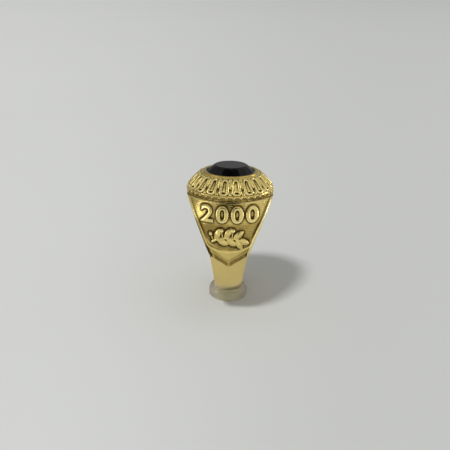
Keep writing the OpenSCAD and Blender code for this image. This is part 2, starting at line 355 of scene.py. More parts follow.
# %% [markdown]
# ## A shoulder panel, modelled flat
#
# Each shoulder carries a raised panel: rims along both sides, a bevelled point at the bottom, plain
# numerals and a laurel sprig on a finely lined ground. On the curved shoulder this would be awkward to
# draw. A die maker cuts such a relief flat, so it is modelled on a flat board, where X runs across, Y is
# the height on the ring and Z is the height of the relief, and the finished skin is bent on to the shoulder
# at the end.
#
# The ground plate starts as a grid. Its rows follow the panel's outline, the lowest row becomes the bevel,
# and an extrude gives it thickness. A second, smaller slab is the smooth field at the lower end, which
# stands a little higher and ends in an arch under the sprig.

# %% The ground plate and its smooth lower field
# How far the plate stands out at the sides and goes down, and the height of the bevel along its point
plate_proud, plate_depth, bevel_h = 0.04, 0.55, 1.4
plate_columns, plate_rows = 32, 40
# The arch over the smooth field: height of its middle, radius, and the gap beside the field
field_z, field_r, field_gap = point_z + 3.65, 5.7, 0.15


def point_line(x):
    """Height of the panel's pointed lower edge."""
    return point_z + np.abs(x) * (waist_z - point_z) / (waist_w / 2)


def arch_line(x):
    """Height of the arched upper edge of the smooth field."""
    return field_z + field_r - np.sqrt(field_r ** 2 - x ** 2)


def make_slab(top, height, margin):
    """A slab between the panel's pointed lower edge and a top line, with the bevel along its point.

    Its first row of faces is the bevel, and its top quarter eases down to the height of the ground.
    """
    bpy.ops.mesh.primitive_grid_add(x_subdivisions=plate_columns, y_subdivisions=plate_rows, size=2)
    plate = bpy.context.object
    rows = points(plate)
    across, up = rows[:, 0], (rows[:, 1] + 1) / 2
    first = np.unique(up.round(6))[1]
    low = point_line(across * waist_w / 2)
    high = top(across * waist_w / 2)
    z = np.where(up < first / 2, low, low + bevel_h + (high - low - bevel_h) * (up - first) / (1 - first))
    x = across * (half_width(z) - margin)
    eased = height - (height - field_lift) * np.clip(up * 4 - 3, 0, 1) ** 2
    lift = np.where(up < first / 2, 0, eased)
    place(plate, np.stack([x, z, lift], axis=1))
    edit(plate)
    bpy.ops.mesh.extrude_region_move(TRANSFORM_OT_translate={"value": (0, 0, -plate_depth - rim_lift)})
    bpy.ops.transform.resize(value=(1, 1, 0), center_override=(0, 0, -plate_depth))
    leave_outward()
    return plate


def make_slabs():
    ground = make_slab(lambda x: panel_top_z + 0 * x, field_lift, -plate_proud)
    return [ground, make_slab(arch_line, low_field_lift, field_gap)]


print(f"panel from {point_z:.2f} to {panel_top_z:.2f} mm, arch over the smooth field at {field_z:.2f} mm")

# %% [markdown]
# ## Strokes
#
# Rims, stem and the ornament of the head are all strokes of even or tapering width. A stroke could be a
# chain of boxes, but a curve with a round bevel is one path, and its radius can change from point to point,
# as the pressure on a graver does.

# %% Strokes from curves
rim_inset, rim_r, rim_centre, rim_points = 0.1, 0.27, 0.33, 40
rim_top, rim_end = panel_top_z - 0.1, waist_z - 0.2
# A rim's share of its radius at its lower end, and over how many of its points it thins
rim_thin, rim_thin_points = 0.35, 8


def stroke(path, radius, taper=None):
    """A round stroke along a path, with a share of its radius at each point."""
    curve = bpy.data.curves.new("stroke", "CURVE")
    curve.dimensions = "3D"
    curve.bevel_depth = radius
    curve.bevel_resolution = 3
    curve.use_fill_caps = True
    line = curve.splines.new("POLY")
    line.points.add(len(path) - 1)
    for i, point in enumerate(path):
        line.points[i].co = (*point, 1)
        line.points[i].radius = 1 if taper is None else float(taper[i])
    piece = bpy.data.objects.new("stroke", curve)
    bpy.context.scene.collection.objects.link(piece)
    choose(piece)
    bpy.ops.object.convert(target="MESH")
    return bpy.context.object


def make_rims():
    rims = []
    for side in (-1, 1):
        heights = np.linspace(rim_top, rim_end, rim_points)
        from_end = np.arange(rim_points - 1, -1, -1) / rim_thin_points
        shares = [min(1.0, rim_thin + (1 - rim_thin) * share) for share in from_end]
        path = [(side * (float(half_width(z)) - rim_inset - rim_r * share), float(z), rim_centre)
                for z, share in zip(heights, shares)]
        rims.append(stroke(path, rim_r, shares))
    return rims


print(f"rims {2 * rim_r:.2f} mm wide, from {rim_end:.2f} to {rim_top:.2f} mm")

# %% [markdown]
# ## Numerals
#
# Four plain numerals stand under the head. They could be drawn with strokes, but a text object already has
# well-shaped figures, and its bevel makes them bold and round. Each is turned to a mesh and stretched to
# the same box.

# %% Plain numerals
figures = "2000"
numeral_w, numeral_h, numeral_gap = 2.45, 2.75, 0.42
numeral_top = panel_top_z - 0.58
# Height of a numeral over the board, and how deep it is rooted in it
numeral_lift, numeral_root = 0.68, 0.2
# In the font's own size: how far a figure's outline is moved, its depth and its rounding
figure_offset, figure_depth, figure_bevel = -0.012, 0.1, 0.045


def make_numerals():
    numerals = []
    for i, figure in enumerate(figures):
        bpy.ops.object.text_add()
        text = bpy.context.object
        text.data.body = figure
        text.data.extrude = figure_depth
        text.data.offset = figure_offset
        text.data.bevel_depth = figure_bevel
        text.data.bevel_resolution = 3
        bpy.ops.object.convert(target="MESH")
        piece = bpy.context.object
        rows = points(piece)
        low, high = rows.min(0), rows.max(0)
        rows = (rows - low) / (high - low)
        left = (i - (len(figures) - 1) / 2) * (numeral_w + numeral_gap) - numeral_w / 2
        size = [numeral_w, numeral_h, numeral_lift + numeral_root]
        place(piece, rows * size + [left, numeral_top - numeral_h, -numeral_root])
        numerals.append(piece)
    return numerals


print(f"{len(figures)} numerals of {numeral_w} x {numeral_h} mm")

# %% [markdown]
# ## The sprig
#
# A bowed stem with pairs of leaves, a leaf at its end and stalked berries fills the middle of the panel. A
# leaf is a disc pinched to two points, with its middle raised to a vein. It is modelled once, and each copy
# gets its own mesh, its own turn and its own place along the stem.

# %% Stem, leaves and berries
# The stem is a bow. Places along it are turns in degrees round the bow's centre
stem_bow_r, stem_r, stem_height, stem_points = 6.0, 0.2, 0.42, 40
stem_thick, stem_thin = 1.2, 0.7
leaf_pairs, leaf_step = 3, 17
stem_root = 120
stem_tip = stem_root + 1 - leaf_pairs * leaf_step
sprig_centre = np.array([-0.3, panel_top_z - 5.9 - stem_bow_r])
# A leaf: size, height at its edge and at its vein, depth of its root, and how full its outline is
leaf_l, leaf_w = 2.25, 1.1
leaf_edge, leaf_vein, leaf_root, leaf_fullness = 0.5, 0.74, 0.6, 0.8
# Turns from the stem's root to the first pair and from a pair's outer leaf to its inner one, and headings
first_pair, pair_shift, outer_heading, inner_heading = 7, 4, 45, 135
stalk_l, stalk_r, stalk_height, stalk_shift, berry_r = 1.35, 0.11, 0.36, 3, 0.38


def on_bow(radius, angle):
    """A point at a distance from the middle of the stem's bow."""
    turn = math.radians(angle)
    return sprig_centre + radius * np.array([math.cos(turn), math.sin(turn)])


def twin(piece):
    """A copy of a piece with its own mesh."""
    copy = piece.copy()
    copy.data = piece.data.copy()
    bpy.context.scene.collection.objects.link(copy)
    return copy


def make_leaf():
    bpy.ops.mesh.primitive_circle_add(vertices=32, radius=1, fill_type="TRIFAN")
    leaf = bpy.context.object
    rows = points(leaf)
    x, y = rows[:, 0], rows[:, 1]
    width = leaf_w / 2 * (1 - x ** 2) ** leaf_fullness
    height = np.where(np.hypot(x, y) < 0.01, leaf_vein, leaf_edge)
    place(leaf, np.stack([(x + 1) * leaf_l / 2, np.sign(y) * width, height], axis=1))
    edit(leaf)
    bpy.ops.mesh.extrude_region_move(TRANSFORM_OT_translate={"value": (0, 0, -leaf_root)})
    leave_outward()
    return leaf


def make_berry(turn):
    """A round berry on a short stalk, at a turn along the stem."""
    path = [(*on_bow(stem_bow_r + stalk_l * share, turn), stalk_height) for share in (0, 0.5, 1)]
    stalk = stroke(path, stalk_r)
    bpy.ops.mesh.primitive_uv_sphere_add(segments=24, ring_count=12, radius=berry_r, location=path[-1])
    return [stalk, bpy.context.object]


def make_sprig():
    turns = np.linspace(stem_root, stem_tip, stem_points)
    stem_path = [(*on_bow(stem_bow_r, turn), stem_height) for turn in turns]
    parts = [stroke(stem_path, stem_r, np.linspace(stem_thick, stem_thin, stem_points))]
    first_leaf = make_leaf()
    places = [(stem_tip + 1, stem_tip - 90)]
    for i in range(leaf_pairs):
        angle = stem_root - first_pair - leaf_step * i
        places += [(angle, angle - outer_heading), (angle - pair_shift, angle - inner_heading)]
        parts += make_berry(angle + stalk_shift)
    for turn, heading in places:
        leaf = twin(first_leaf)
        leaf.location = (*on_bow(stem_bow_r, turn), 0)
        leaf.rotation_euler = (0, 0, math.radians(heading))
        parts.append(leaf)
    bpy.data.objects.remove(first_leaf)
    return parts


print(f"sprig of {2 * leaf_pairs + 1} leaves and {leaf_pairs} berries")

# %% [markdown]
# ## Melt the panel and bend it
#
# Plate, rims, numerals and sprig are joined and melted on the flat board. The ground is then lined: fine
# furrows run across it wherever no relief stands, as a graver leaves them. Last, every point moves from the
# board to the shoulder: its X and height stay, and its relief becomes a distance from the shoulder's
# surface.
#
# The colour of the gold will be read from the depth of the hollows, which are darkened as tarnish and as
# painted shade. A little depth is added for film on the lined ground and for painted shade round the sprig,
# along the low edges, on the bevel and down the left side, and taken away for painted highlights inside the
# rims and along the right rim.

# %% Lining and bending
panel_voxel, panel_melt_rounds, panel_hollow_rounds = 0.07, 3, 52
# The furrows: pitch, depth and sway, and then how the share of them that is stippled runs
line_pitch, line_depth, sway, sway_turns = 0.28, 0.022, 0.04, 1.9
stipple_share, stipple_pitch, stipple_sway, stipple_turns = 0.15, 1.1, 2.3, 5
# Where the lining sets in: inward from the sides, and upward from the arch
side_margin, arch_margin = (0.75, 0.95), (0.3, 0.6)
# Ground is lower than this and fades above it, and the arch's line is a circle only this far from the middle
ground_top, ground_fade, arch_reach = 0.40, 0.06, 5
# Film and painted shade, as millimetres of added depth: film on the ground, and painted shade round the
# sprig, on low edges, on the bevel and down the left side
ground_film, sprig_painted_shade, low_edge_painted_shade, bevel_painted_shade, left_side_painted_shade = 0.011, 0.03, 0.03, 0.052, 0.1
# Painted highlights, in millimetres of depth taken away: inside the left and the right rim, and on the right
# rim
left_painted_highlight, right_painted_highlight, right_rim_painted_highlight = 0.03, 0.012, 0.09
# Heights under which the painted shade down the left side and round the sprig sets in
left_shade_top, sprig_shade_top = bead_z - 2.75, bead_z - 3.45


def measure(panel):
    """A flat panel's points, how far they are from the side and over the arch, and their share of ground."""
    rows = points(panel)
    x, z, lift = rows.T
    from_side = half_width(z) - np.abs(x)
    over_arch = z - arch_line(np.clip(x, -arch_reach, arch_reach))
    ground = ramp(lift, ground_top, ground_top - ground_fade) * (lift > 0)
    return rows, from_side, over_arch, ground


def line_the_ground(panel):
    """Cuts fine furrows across the ground between the relief."""
    rows, from_side, over_arch, ground = measure(panel)
    x, z, lift = rows.T
    lined = ground * ramp(from_side, *side_margin) * ramp(over_arch, *arch_margin)
    wave = np.sin(2 * math.pi * (z + sway * np.sin(sway_turns * x)) / line_pitch)
    stipple = np.sin(2 * math.pi * x / stipple_pitch + stipple_sway * np.sin(stipple_turns * z))
    furrow = line_depth * (0.5 + 0.5 * wave) * (1 - stipple_share + stipple_share * stipple)
    place(panel, np.stack([x, z, lift - lined * furrow], axis=1))


def film_and_painted_light_on(panel):
    """Depth to add at each point of the flat panel for tarnish and painted shade, less the depth taken away
    for painted highlights.

    The two numbers of each ramp are the places, in millimetres, between which the tarnish, the painted shade
    or the painted highlight sets in.
    """
    rows, from_side, over_arch, ground = measure(panel)
    x, z, lift = rows.T
    low_edge = ramp(lift, 0.15, 0) * ramp(from_side, 0, 0.1)
    bevel = ramp(z - point_line(x), bevel_h + 0.55, bevel_h + 0.25) * ramp(from_side, 0, 0.2)
    rim = ramp(from_side, 0.55, 0.45)
    left_side = rim * (x < 0) * ramp(z, left_shade_top, left_shade_top - 0.6)
    right_rim = rim * (x > 0) * ramp(z, waist_z, waist_z + 1.5)
    inside_rim_highlight = np.where(x < 0, left_painted_highlight, right_painted_highlight) * ramp(np.abs(from_side - 0.75), 0.3, 0)
    round_sprig_shade = ramp(z, sprig_shade_top, sprig_shade_top - 0.8)
    # Film on the lined ground, and painted shade on the ground round the sprig
    film_and_painted_light = ground * ramp(over_arch, 0, 0.3) * (ground_film + sprig_painted_shade * round_sprig_shade)
    # Painted shade along the low edges except on the right rim, on the bevel and down the left side
    film_and_painted_light += low_edge_painted_shade * low_edge * (1 - right_rim) + bevel_painted_shade * bevel + left_side_painted_shade * left_side
    # Painted highlights inside the rims, stronger on the left, and along the right rim
    return film_and_painted_light - inside_rim_highlight - right_rim_painted_highlight * right_rim


def bend(panel):
    """Moves every point of a flat panel on to the front shoulder."""
    x, z, lift = points(panel).T
    place(panel, np.stack([x, -shoulder_depth(x, z, lift), z], axis=1))
    edit(panel)
    leave_outward()


def make_panel():
    panel = joined("shoulder_panel_front", make_rims() + make_numerals() + make_sprig() + make_slabs())
    settle(panel)
    melt(panel, panel_voxel, panel_melt_rounds)
    film_and_painted_light = film_and_painted_light_on(panel)
    line_the_ground(panel)
    note_hollows(panel, panel_hollow_rounds, film_and_painted_light)
    bend(panel)
    return panel


panel_front = make_panel()
panel_back = twin(panel_front)
panel_back.name = "shoulder_panel_back"
panel_back.rotation_euler = (0, 0, math.pi)
for panel in (panel_front, panel_back):
    to_size(panel)

# %% [markdown]
# ## The domed head
#
# Over the shoulders sits an oval dome with an egg-and-dart band, and a row of beads at its foot. All of it
# is modelled round, because a lathe and a ring of equal steps are simple, and stretched along the finger at
# the end. The dome is a spun profile, open in the middle for the stone.

# %% The dome's profile
dome_bulge, dome_points, dome_steps = 0.15, 14, 160
# The slope ends a little outside the collar, and the dome's hole is a little inside the stone's girdle
slope_low, slope_high = np.array([band_r, band_z]), np.array([collar_r + 0.1, collar_z])
dome_hole_r = stone_r - 0.3
slope_way = slope_high - slope_low
slope_l = float(np.linalg.norm(slope_way))
dome_arc_r = ((slope_l / 2) ** 2 + dome_bulge ** 2) / (2 * dome_bulge)
slope_left = np.array([-slope_way[1], slope_way[0]]) / slope_l
dome_centre = (slope_low + slope_high) / 2 + (dome_arc_r - dome_bulge) * slope_left
arc_from = math.atan2(*(slope_low - dome_centre)[::-1])
arc_to = math.atan2(*(slope_high - dome_centre)[::-1])


def on_dome(up, lift):
    """Radius and height of a point up the dome's slope, raised by a lift. Up runs from 0 to 1."""
    turn = arc_from + (arc_to - arc_from) * up
    reach = dome_arc_r + lift
    return dome_centre[0] + reach * np.cos(turn), dome_centre[1] + reach * np.sin(turn)


def lathe(name, profile, steps):
    """Spins a closed profile of (radius, height) points round the upright axis."""
    bpy.ops.mesh.primitive_circle_add(vertices=len(profile), radius=1)
    piece = bpy.context.object
    piece.name = name
    place(piece, [(radius, 0, height) for radius, height in profile])
    edit(piece, "EDGE")
    bpy.ops.mesh.spin(steps=steps, angle=2 * math.pi, center=(0, 0, 0), axis=(0, 0, 1))
    bpy.ops.mesh.select_all(action="SELECT")
    bpy.ops.mesh.remove_doubles(threshold=0.004)
    leave_outward()
    return piece


def make_dome_body():
    slope = [tuple(float(v) for v in on_dome(up, 0)) for up in np.linspace(0, 1, dome_points)]
    profile = [(band_r, root_z)] + slope + [(dome_hole_r, collar_z), (dome_hole_r, root_z)]
    return lathe("dome", profile, dome_steps)


print(f"dome's slope is {slope_l:.2f} mm long")

# %% [markdown]
# ## Eggs and darts
#
# The band of ornament repeats twenty times round the dome. An egg is a long oval line round a drop, and
# between two eggs a long dart points down and a short one up. They are drawn as strokes on a flat strip,
# then each point is wrapped round the dome: the strip's X becomes a turn and its Y a way up the slope.

# %% The band of ornament
egg_count = 20
egg_gap, egg_w, egg_stroke = 0.22, 1.42, 0.44
egg_h = slope_l - 2 * egg_gap
# Radius at which the flat strip is as long as the dome is round, and height of the strokes over the dome
middle_r, egg_rise = (band_r + collar_r) / 2, 0.06
dart_x = math.pi * middle_r / egg_count
arc_points, line_points = 16, 10
dome_voxel, dome_melt_rounds, dome_hollow_rounds, dome_film_and_shade = 0.088, 4, 36, 0.03
# The drop, the upper and the lower dart: place across, start and end, radius, share of it at start and end
swelling_strokes = [
    (0, 0.75, egg_h - 0.8, 0.17, 1.15, 0.35),
    (dart_x, 0.42 * egg_h, egg_h - 0.08, 0.26, 0.2, 1.0),
    (dart_x, 0.3 * egg_h, 0.1, 0.24, 0.2, 1.0),
]


def oval_path(half_w, low, high):
    """A long oval between two heights, as a closed path that runs a little past its start."""
    ends = ((high - half_w, 0, math.pi), (low + half_w, math.pi, 2 * math.pi))
    path = [(half_w * math.cos(t), middle + half_w * math.sin(t), 0)
            for middle, start, end in ends for t in np.linspace(start, end, arc_points)]
    return path + path[:2]


def egg_and_dart():
    """One oval with a drop in it, and the darts beside it, drawn flat."""
    half = egg_stroke / 2
    parts = [stroke(oval_path(egg_w / 2 - half, half, egg_h - half), half)]
    for x, start, end, radius, first_share, last_share in swelling_strokes:
        path = [(x, float(y), 0) for y in np.linspace(start, end, line_points)]
        parts.append(stroke(path, radius, np.linspace(first_share, last_share, line_points)))
    return parts


def wrap(piece, turn):
    """Moves a flat drawing on to the dome at a turn round it."""
    rows = points(piece)
    radius, height = on_dome((rows[:, 1] + egg_gap) / slope_l, rows[:, 2] + egg_rise)
    angle = turn + rows[:, 0] / middle_r
    place(piece, np.stack([radius * np.cos(angle), radius * np.sin(angle), height], axis=1))


def make_ornament():
    pattern = joined("pattern", egg_and_dart())
    repeats = []
    for i in range(egg_count):
        repeats.append(twin(pattern))
        wrap(repeats[-1], (i + 0.5) * 2 * math.pi / egg_count)
    bpy.data.objects.remove(pattern)
    return repeats


def stretch(piece):
    """Stretches a round piece along the finger to the head's oval."""
    rows = points(piece)
    rows[:, 0] *= head_ratio
    place(piece, rows)


def ground_of(piece):
    """Where the dome's own surface shows between the strokes of the ornament, as a share for each point."""
    rows = points(piece)
    around = np.hypot(rows[:, 0] / head_ratio, rows[:, 1])
    lift = np.hypot(around - dome_centre[0], rows[:, 2] - dome_centre[1]) - dome_arc_r
    over_beads = ramp(rows[:, 2], band_z + 0.15, band_z + 0.25)
    under_collar = ramp(rows[:, 2], collar_z - 0.12, collar_z - 0.22)
    return ramp(lift, 0.15, 0.05) * over_beads * under_collar


dome = joined("dome", make_ornament() + [make_dome_body()])
stretch(dome)
melt(dome, dome_voxel, dome_melt_rounds)
# The dome's own surface between the strokes gets film and painted shade
note_hollows(dome, dome_hollow_rounds, dome_film_and_shade * ground_of(dome))
to_size(dome)

# %% [markdown]
# ## Beads
#
# A row of beads marks the foot of the dome. They catch the light as small clean highlights, so they aren't
# melted: they are spheres, placed round the head by a loop and joined.

# %% Bead line
bead_count, bead_r, bead_inset = 38, 0.37, 0.1


def make_beads():
    beads = []
    reach = band_r - bead_inset
    for i in range(bead_count):
        angle = 2 * math.pi * i / bead_count
        spot = (reach * math.cos(angle) * head_ratio, reach * math.sin(angle), (bead_z + band_z) / 2)
        bpy.ops.mesh.primitive_ico_sphere_add(subdivisions=3, radius=bead_r, location=spot)
        beads.append(bpy.context.object)
    line = joined("bead_line", beads)
    bpy.ops.object.shade_smooth()
    return line


bead_line = make_beads()
to_size(bead_line)

# %% [markdown]
# ## Collar
#
# A plain polished collar holds the stone. It could be a bevelled torus, but its outer side is round and its
# inner side leans over the stone, so it is spun from a profile with a rounded lip, and then stretched.

# %% Collar
collar_steps = 192
seat_r = stone_r + 0.04
# Depth of the collar's root, height of its straight outer side, and radius of its rounding
collar_root, collar_wall, collar_round = 0.15, 0.1, 0.22
# The lip's inner side: how far outside its edge and under its top
lip_profile = [(0.12, 0.02), (0.02, 0.05), (0.0, 0.12)]
seat_over_girdle = 0.08


def make_collar():
    wall_z = collar_z + collar_wall
    outside = [(collar_r, collar_z - collar_root), (collar_r, wall_z)]
    rounding = [(collar_r - collar_round * (1 - math.cos(t)), wall_z + collar_round * math.sin(t))
                for t in np.linspace(0.3, 1.3, 5)]
    lip = [(lip_r + out, lip_z - down) for out, down in lip_profile]
    seat = [(seat_r, girdle_z + seat_over_girdle), (seat_r, collar_z - collar_root)]
    collar = lathe("collar", outside + rounding + lip + seat, collar_steps)
    stretch(collar)
    smooth_under(collar, 40)
    return collar


collar = make_collar()
to_size(collar)

# %% [markdown]
# ## The stone
#
# A black onyx with a flat table and a faceted crown. A circle could be extruded and scaled ring by ring,
# but facets made that way are twisted, and a real facet is flat. A cutter grinds one plane after another
# off a round blank. Bisect does just that: each call cuts the blank with a plane, throws away what is
# outside and closes the cut.

# %% Cut the facets
stone_low_z = girdle_z - girdle_t - pavilion_h
stone_bevel = 0.02
# Rows of facets: how many, the first one's turn in steps, then the height, tilt and radius of the cut
facet_rows = [
    (16, 0.5, girdle_z + 0.02, 45, stone_r),
    (16, 0.0, table_z, 30, table_r),
    (32, 0.25, girdle_z, 54, stone_r + 0.005),
    (16, 0.5, girdle_z - girdle_t, 145, stone_r),
]


def cut(spot, normal):
    """Grinds a flat facet through a point."""
    bpy.ops.mesh.select_all(action="SELECT")
    bpy.ops.mesh.bisect(plane_co=spot, plane_no=normal, use_fill=True, clear_outer=True, threshold=0.00001)


def make_stone():
    depth = table_z - stone_low_z
    bpy.ops.mesh.primitive_cylinder_add(vertices=64, radius=stone_r, depth=depth,
                                        location=(0, 0, stone_low_z + depth / 2))
    stone = bpy.context.object
    stone.name = "cut_stone"
    settle(stone)
    edit(stone)
    for count, start, height, tilt, radius in facet_rows:
        lean = math.radians(tilt)
        for i in range(count):
            turn = (i + start) * 2 * math.pi / count
            x, y = math.cos(turn), math.sin(turn)
            cut((radius * x, radius * y, height), (x * math.sin(lean), y * math.sin(lean), math.cos(lean)))
    leave_outward()
    stretch(stone)
    finish_with(stone, "BEVEL", width=stone_bevel, segments=2, limit_method="ANGLE",
                angle_limit=math.radians(4))
    smooth_under(stone, 3)
    return stone


stone = make_stone()
to_size(stone)

# %% [markdown]
# ## The clear foot
#
# The ring stands upright in a small round foot of clear soft plastic, which has taken the shape of the
# shank. The foot is spun from a profile with a rounded edge, a cylinder the size of the shank is cut out of
# it, and a light melt takes the edge off the cut, as soft plastic has no sharp corners.

# %% Foot
foot_edge_r, foot_chamfer, foot_steps = 0.7, 0.1, 96
# The cutter is a little thicker and wider than the shank, so that the two don't touch
dent_r, dent_w = shank_r + 0.05, shank_w + 0.1
foot_voxel, foot_melt_rounds = 0.09, 3


def make_foot():
    base = [(0, 0), (foot_r - foot_chamfer, 0), (foot_r, foot_chamfer)]
    edge = [(foot_r - foot_edge_r * (1 - math.cos(t)), foot_h - foot_edge_r * (1 - math.sin(t)))
            for t in np.linspace(0, math.pi / 2, 9)]
    foot = lathe("foot_pad", base + edge + [(0, foot_h)], foot_steps)
    bpy.ops.mesh.primitive_cylinder_add(vertices=256, radius=dent_r, depth=dent_w,
                                        location=(0, 0, axis_z), rotation=(0, math.pi / 2, 0))
    cutter = bpy.context.object
    finish_with(foot, "BOOLEAN", operation="DIFFERENCE", object=cutter, solver="EXACT")
    bpy.data.objects.remove(cutter)
    melt(foot, foot_voxel, foot_melt_rounds)
    return foot


foot = make_foot()
to_size(foot)

# %% [markdown]
# ## Writing materials as formulas
#
# A material is a small sum: a mask times a colour, one minus another mask. Wiring that by hand hides the
# sum in a web of nodes. The class below wraps a socket and gives it plus, minus, times and divided by, so a
# mask reads like the formula it is. Every other node comes from one method, whose keywords are the node's
# inputs: by name, or by number where a node has several inputs of one name, as i0 or i6.

# %% Sockets with arithmetic


class Wire:
    """One output of a node in a material, which can be used in a formula."""

    def __init__(self, tree, socket):
        self.tree = tree
        self.socket = socket

    def node(self, kind, settings=None, output=0, **values):
        """Adds a node, sets its settings, then its inputs from numbers, colours or wires."""
        made = self.tree.nodes.new(kind)
        for name, value in (settings or {}).items():
            setattr(made, name, value)
        for name, value in values.items():
            key = int(name[1:]) if name[0] == "i" and name[1:].isdigit() else name.replace("_", " ")
            target = made.inputs[key]
            if isinstance(value, Wire):
                self.tree.links.new(value.socket, target)
            else:
                target.default_value = value
        return Wire(self.tree, made.outputs[output])

    def maths(self, operation, first, second=0.0):
        return self.node("ShaderNodeMath", {"operation": operation}, i0=first, i1=second)

    def __add__(self, other):
        return self.maths("ADD", self, other)

    __radd__ = __add__

    def __mul__(self, other):
        return self.maths("MULTIPLY", self, other)

    __rmul__ = __mul__

    def __sub__(self, other):
        return self.maths("SUBTRACT", self, other)

    def __rsub__(self, other):
        return self.maths("SUBTRACT", other, self)

    def __truediv__(self, other):
        return self.maths("DIVIDE", self, other)

    def __rtruediv__(self, other):
        return self.maths("DIVIDE", other, self)

    def __abs__(self):
        return self.maths("ABSOLUTE", self)

    def at_least(self, other):
        """The higher one of this and another value."""
        return self.maths("MAXIMUM", self, other)

    def between(self, low, high):
        """Rises from 0 to 1 as the value goes from low to high."""
        return self.node("ShaderNodeMapRange", {"interpolation_type": "SMOOTHSTEP"},
                         Value=self, From_Min=low, From_Max=high)

    def noise(self, scale, detail):
        """Noise at this place."""
        return self.node("ShaderNodeTexNoise", Vector=self, Scale=scale, Detail=detail)

    def part(self, axis):
        """One part of a place: 0 for X, 1 for Y, 2 for Z."""
        return self.node("ShaderNodeSeparateXYZ", output=axis, Vector=self)


# %% Starting a material and mixing colours


def new_material(name, **constants):
    """A material with its shader's constant sockets set. Returns it, its shader and a wire of the place."""
    material = bpy.data.materials.new(name)
    material.use_nodes = True
    tree = material.node_tree
    shader = tree.nodes["Principled BSDF"]
    for socket, value in constants.items():
        shader.inputs[socket.replace("_", " ")].default_value = value
    spot = Wire(tree, tree.nodes.new("ShaderNodeTexCoord").outputs["Object"])
    return material, shader, spot


def feed(shader, wire, socket):
    wire.tree.links.new(wire.socket, shader.inputs[socket])


def blend(mask, first, second):
    """Mixes two colours by a mask."""
    return mask.node("ShaderNodeMix", {"data_type": "RGBA"}, output=2, i0=mask, i6=first, i7=second)


# %% [markdown]
# ## Gold
#
# Yellow gold is a metal whose colour is its reflection. Two things make it look real: the recesses hold a
# brown film that polishing doesn't reach, and the high parts are rubbed bright and carry a very fine
# unevenness from casting and wear. The darkening of the recesses is also painted shade, and the lighter high
# edges are also a painted highlight. A picture could hold all this, but the depth of each hollow is already
# stored on the mesh, so masks from that attribute darken and dull the recesses and lighten the edges, and
# noise in the object's own space does the rest. Two more masks go by height alone: painted shade in the seam
# at the bead line, and painted shade and dark reflection near the foot.

# %% Gold
worked_colour, smooth_colour = (0.785, 0.615, 0.21, 1), (0.80, 0.63, 0.245, 1)
# The bright edge colour is wear and a painted highlight; the olive and dark film are tarnish and painted
# shade
worn_edge_and_highlight, olive_film_and_shade, dark_film_and_shade = (0.96, 0.85, 0.42, 1), (0.40, 0.28, 0.07, 1), (0.05, 0.027, 0.005, 1)
# In millimetres: the depths over which the thin and the thick film with its painted shade set in, and the
# heights of the bright edges, which are worn and carry a painted highlight
thin_depths, thick_depths, edge_highlight_heights = (0.004, 0.045), (0.03, 0.085), (0.025, 0.085)
# In metres: the seam's height, how far its painted shade spreads, and the heights between which the painted
# shade and dark reflection near the foot end
seam_z, seam_spread, foot_shade_z = (bead_z + 0.05) * MM, (0.00028, 0.00045), (0.0050, 0.0066)
# Scale and detail of the broad, the fine and the swelling noise, and where the broad one shows as worn spots
noise_rows, worn_spots = [(700.0, 3.0), (9000.0, 4.0), (2200.0, 2.0)], (0.35, 0.75)
# How far noise shifts the hollows, then shares of worn spots, their tone, bright edges of wear and painted
# highlight, and the thin and the thick film with its painted shade
hollow_shift, worn_share, worn_tone, edge_highlight_share, thin_share, thick_share = 0.03, 0.3, 0.85, 0.75, 0.8, 0.95
film_roughness, broad_roughness, bump_depth, swell_share = 0.3, 0.05, 0.00002, 12


def gold(name, colour, roughness, grain, seam=0.0, near_foot=0.0, age=0.0):
    """Gold with tarnish and painted shade in its hollows, and painted highlights on its high edges.

    Seam and near_foot are shares of painted shade in the seam and of painted shade and dark reflection near
    the foot, and age is depth added everywhere.
    """
    material, shader, spot = new_material(name, Metallic=1.0)
    height = spot.part(2)
    broad, fine, swell = [spot.noise(*row) for row in noise_rows]
    hollow = spot.node("ShaderNodeAttribute", {"attribute_name": "hollow"}, output=2)
    hollow = hollow + (broad - 0.5) * hollow_shift + age
    # Painted shade and dark reflection low on the shank near the foot, and painted shade in the seam under
    # the beads
    foot_shade = (1 - height.between(*foot_shade_z)) * near_foot
    seam_shade = (1 - abs(height - seam_z).between(*seam_spread)) * seam
    # Film in the hollows: tarnish, and painted shade in the recesses
    thin_film_and_shade = hollow.between(*thin_depths).at_least(foot_shade)
    thick_film_and_shade = hollow.between(*thick_depths).at_least(seam_shade)
    worn = blend(broad.between(*worn_spots) * worn_share, colour, [c * worn_tone for c in colour[:3]] + [1])
    # The high edges lightened: wear, and a painted highlight
    worn = blend((0 - hollow).between(*edge_highlight_heights) * edge_highlight_share, worn, worn_edge_and_highlight)
    worn = blend(thin_film_and_shade * thin_share, worn, olive_film_and_shade)
    feed(shader, blend(thick_film_and_shade * thick_share, worn, dark_film_and_shade), "Base Color")
    feed(shader, roughness + thick_film_and_shade * film_roughness + broad * broad_roughness, "Roughness")
    surface = fine + swell * (swell_share * grain)
    feed(shader, spot.node("ShaderNodeBump", Strength=grain, Distance=bump_depth, Height=surface), "Normal")
    return material


cast_gold = gold("cast_gold", worked_colour, roughness=0.1, grain=0.4, seam=0.7, age=0.004)
bead_gold = gold("bead_gold", smooth_colour, roughness=0.12, grain=0.08, seam=0.3, age=0.006)
polished_gold = gold("polished_gold", smooth_colour, roughness=0.1, grain=0.08, near_foot=1.0)
collar_gold = gold("collar_gold", worked_colour, roughness=0.14, grain=0.08, age=0.032)
gold_pieces = {band: polished_gold, panel_front: cast_gold, panel_back: cast_gold, dome: cast_gold,
               bead_line: bead_gold, collar: collar_gold}
for piece, material in gold_pieces.items():
    piece.data.materials.append(material)
print("gold on", [piece.name for piece in gold_pieces])

